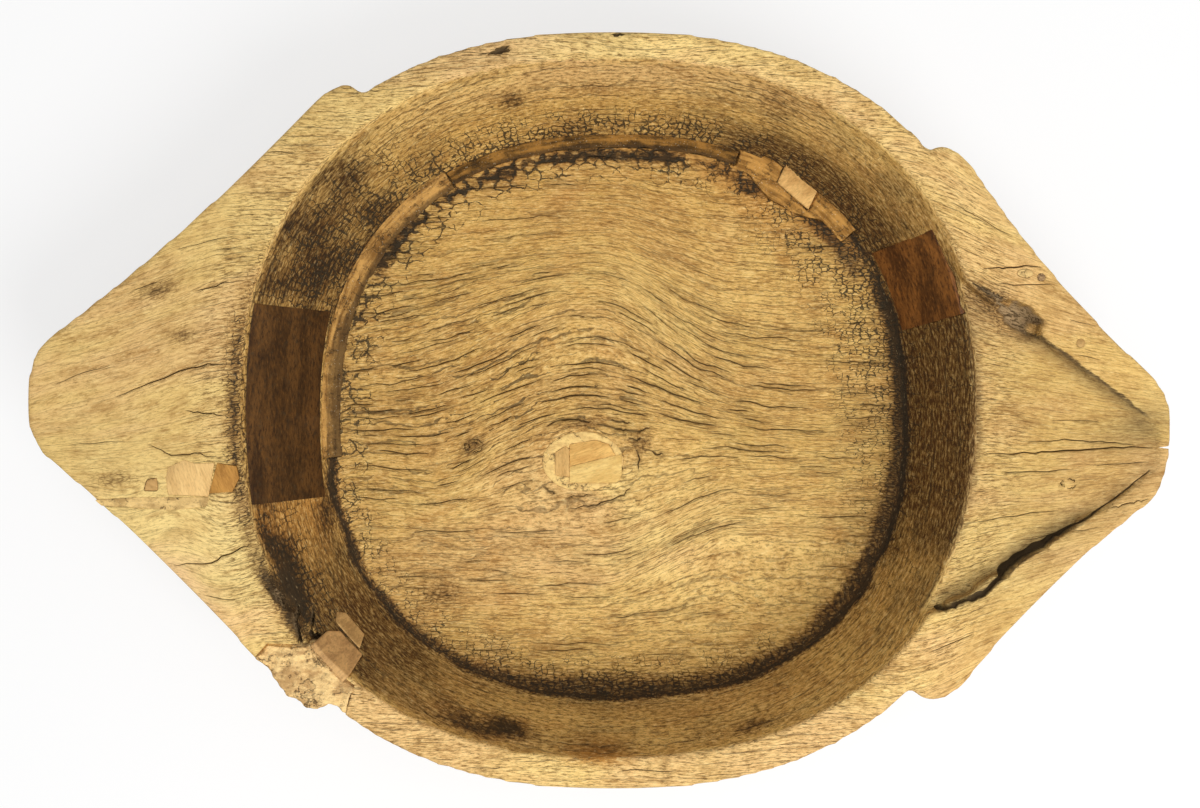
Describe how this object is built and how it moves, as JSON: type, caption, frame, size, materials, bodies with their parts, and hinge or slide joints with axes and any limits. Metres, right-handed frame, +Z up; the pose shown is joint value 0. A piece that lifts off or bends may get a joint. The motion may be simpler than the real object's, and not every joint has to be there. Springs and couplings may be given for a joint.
{
  "type": "wooden kneading bowl",
  "caption": "Carved wooden kneading bowl: squarish oval trough with a triangular lug at each end, a pouring recess in one lug, and old wood and putty mends let into wall, floor and rim.",
  "frame": {"origin": "on the underside of the foot, under the middle of the overall length and width", "axes": "+X to the lug with the pouring recess, +Y to the far side of the bowl, +Z up"},
  "size_m": [0.76, 0.504, 0.14],
  "materials": {
    "old_wood": "worn, dry and cracked",
    "dark_hardwood": "rubbed, close grained",
    "red_hardwood": "rubbed, close grained",
    "pale_wood": "freshly cut",
    "brown_wood": "rubbed",
    "putty": "sawdust putty, dry",
    "iron": "rusted"
  },
  "bodies": {
    "root": {"bowl_body": "old_wood", "left_wall_patch": "dark_hardwood", "right_wall_patch": "red_hardwood", "floor_plug_light": "pale_wood", "floor_plug_dark": "brown_wood", "floor_plug_side": "brown_wood", "floor_plug_filler": "putty", "lug_plug": "pale_wood", "lug_wedge": "brown_wood", "lug_chip": "pale_wood", "lug_filler": "putty", "corner_filler": "putty", "corner_chip": "brown_wood", "corner_sliver": "pale_wood", "seam_filler_left": "putty", "seam_filler_top": "putty", "seam_filler_right": "putty", "seam_chip": "pale_wood", "cheek_filler": "putty", "cheek_nail": "iron", "cheek_peg": "brown_wood"}
  },
  "joints": []
}
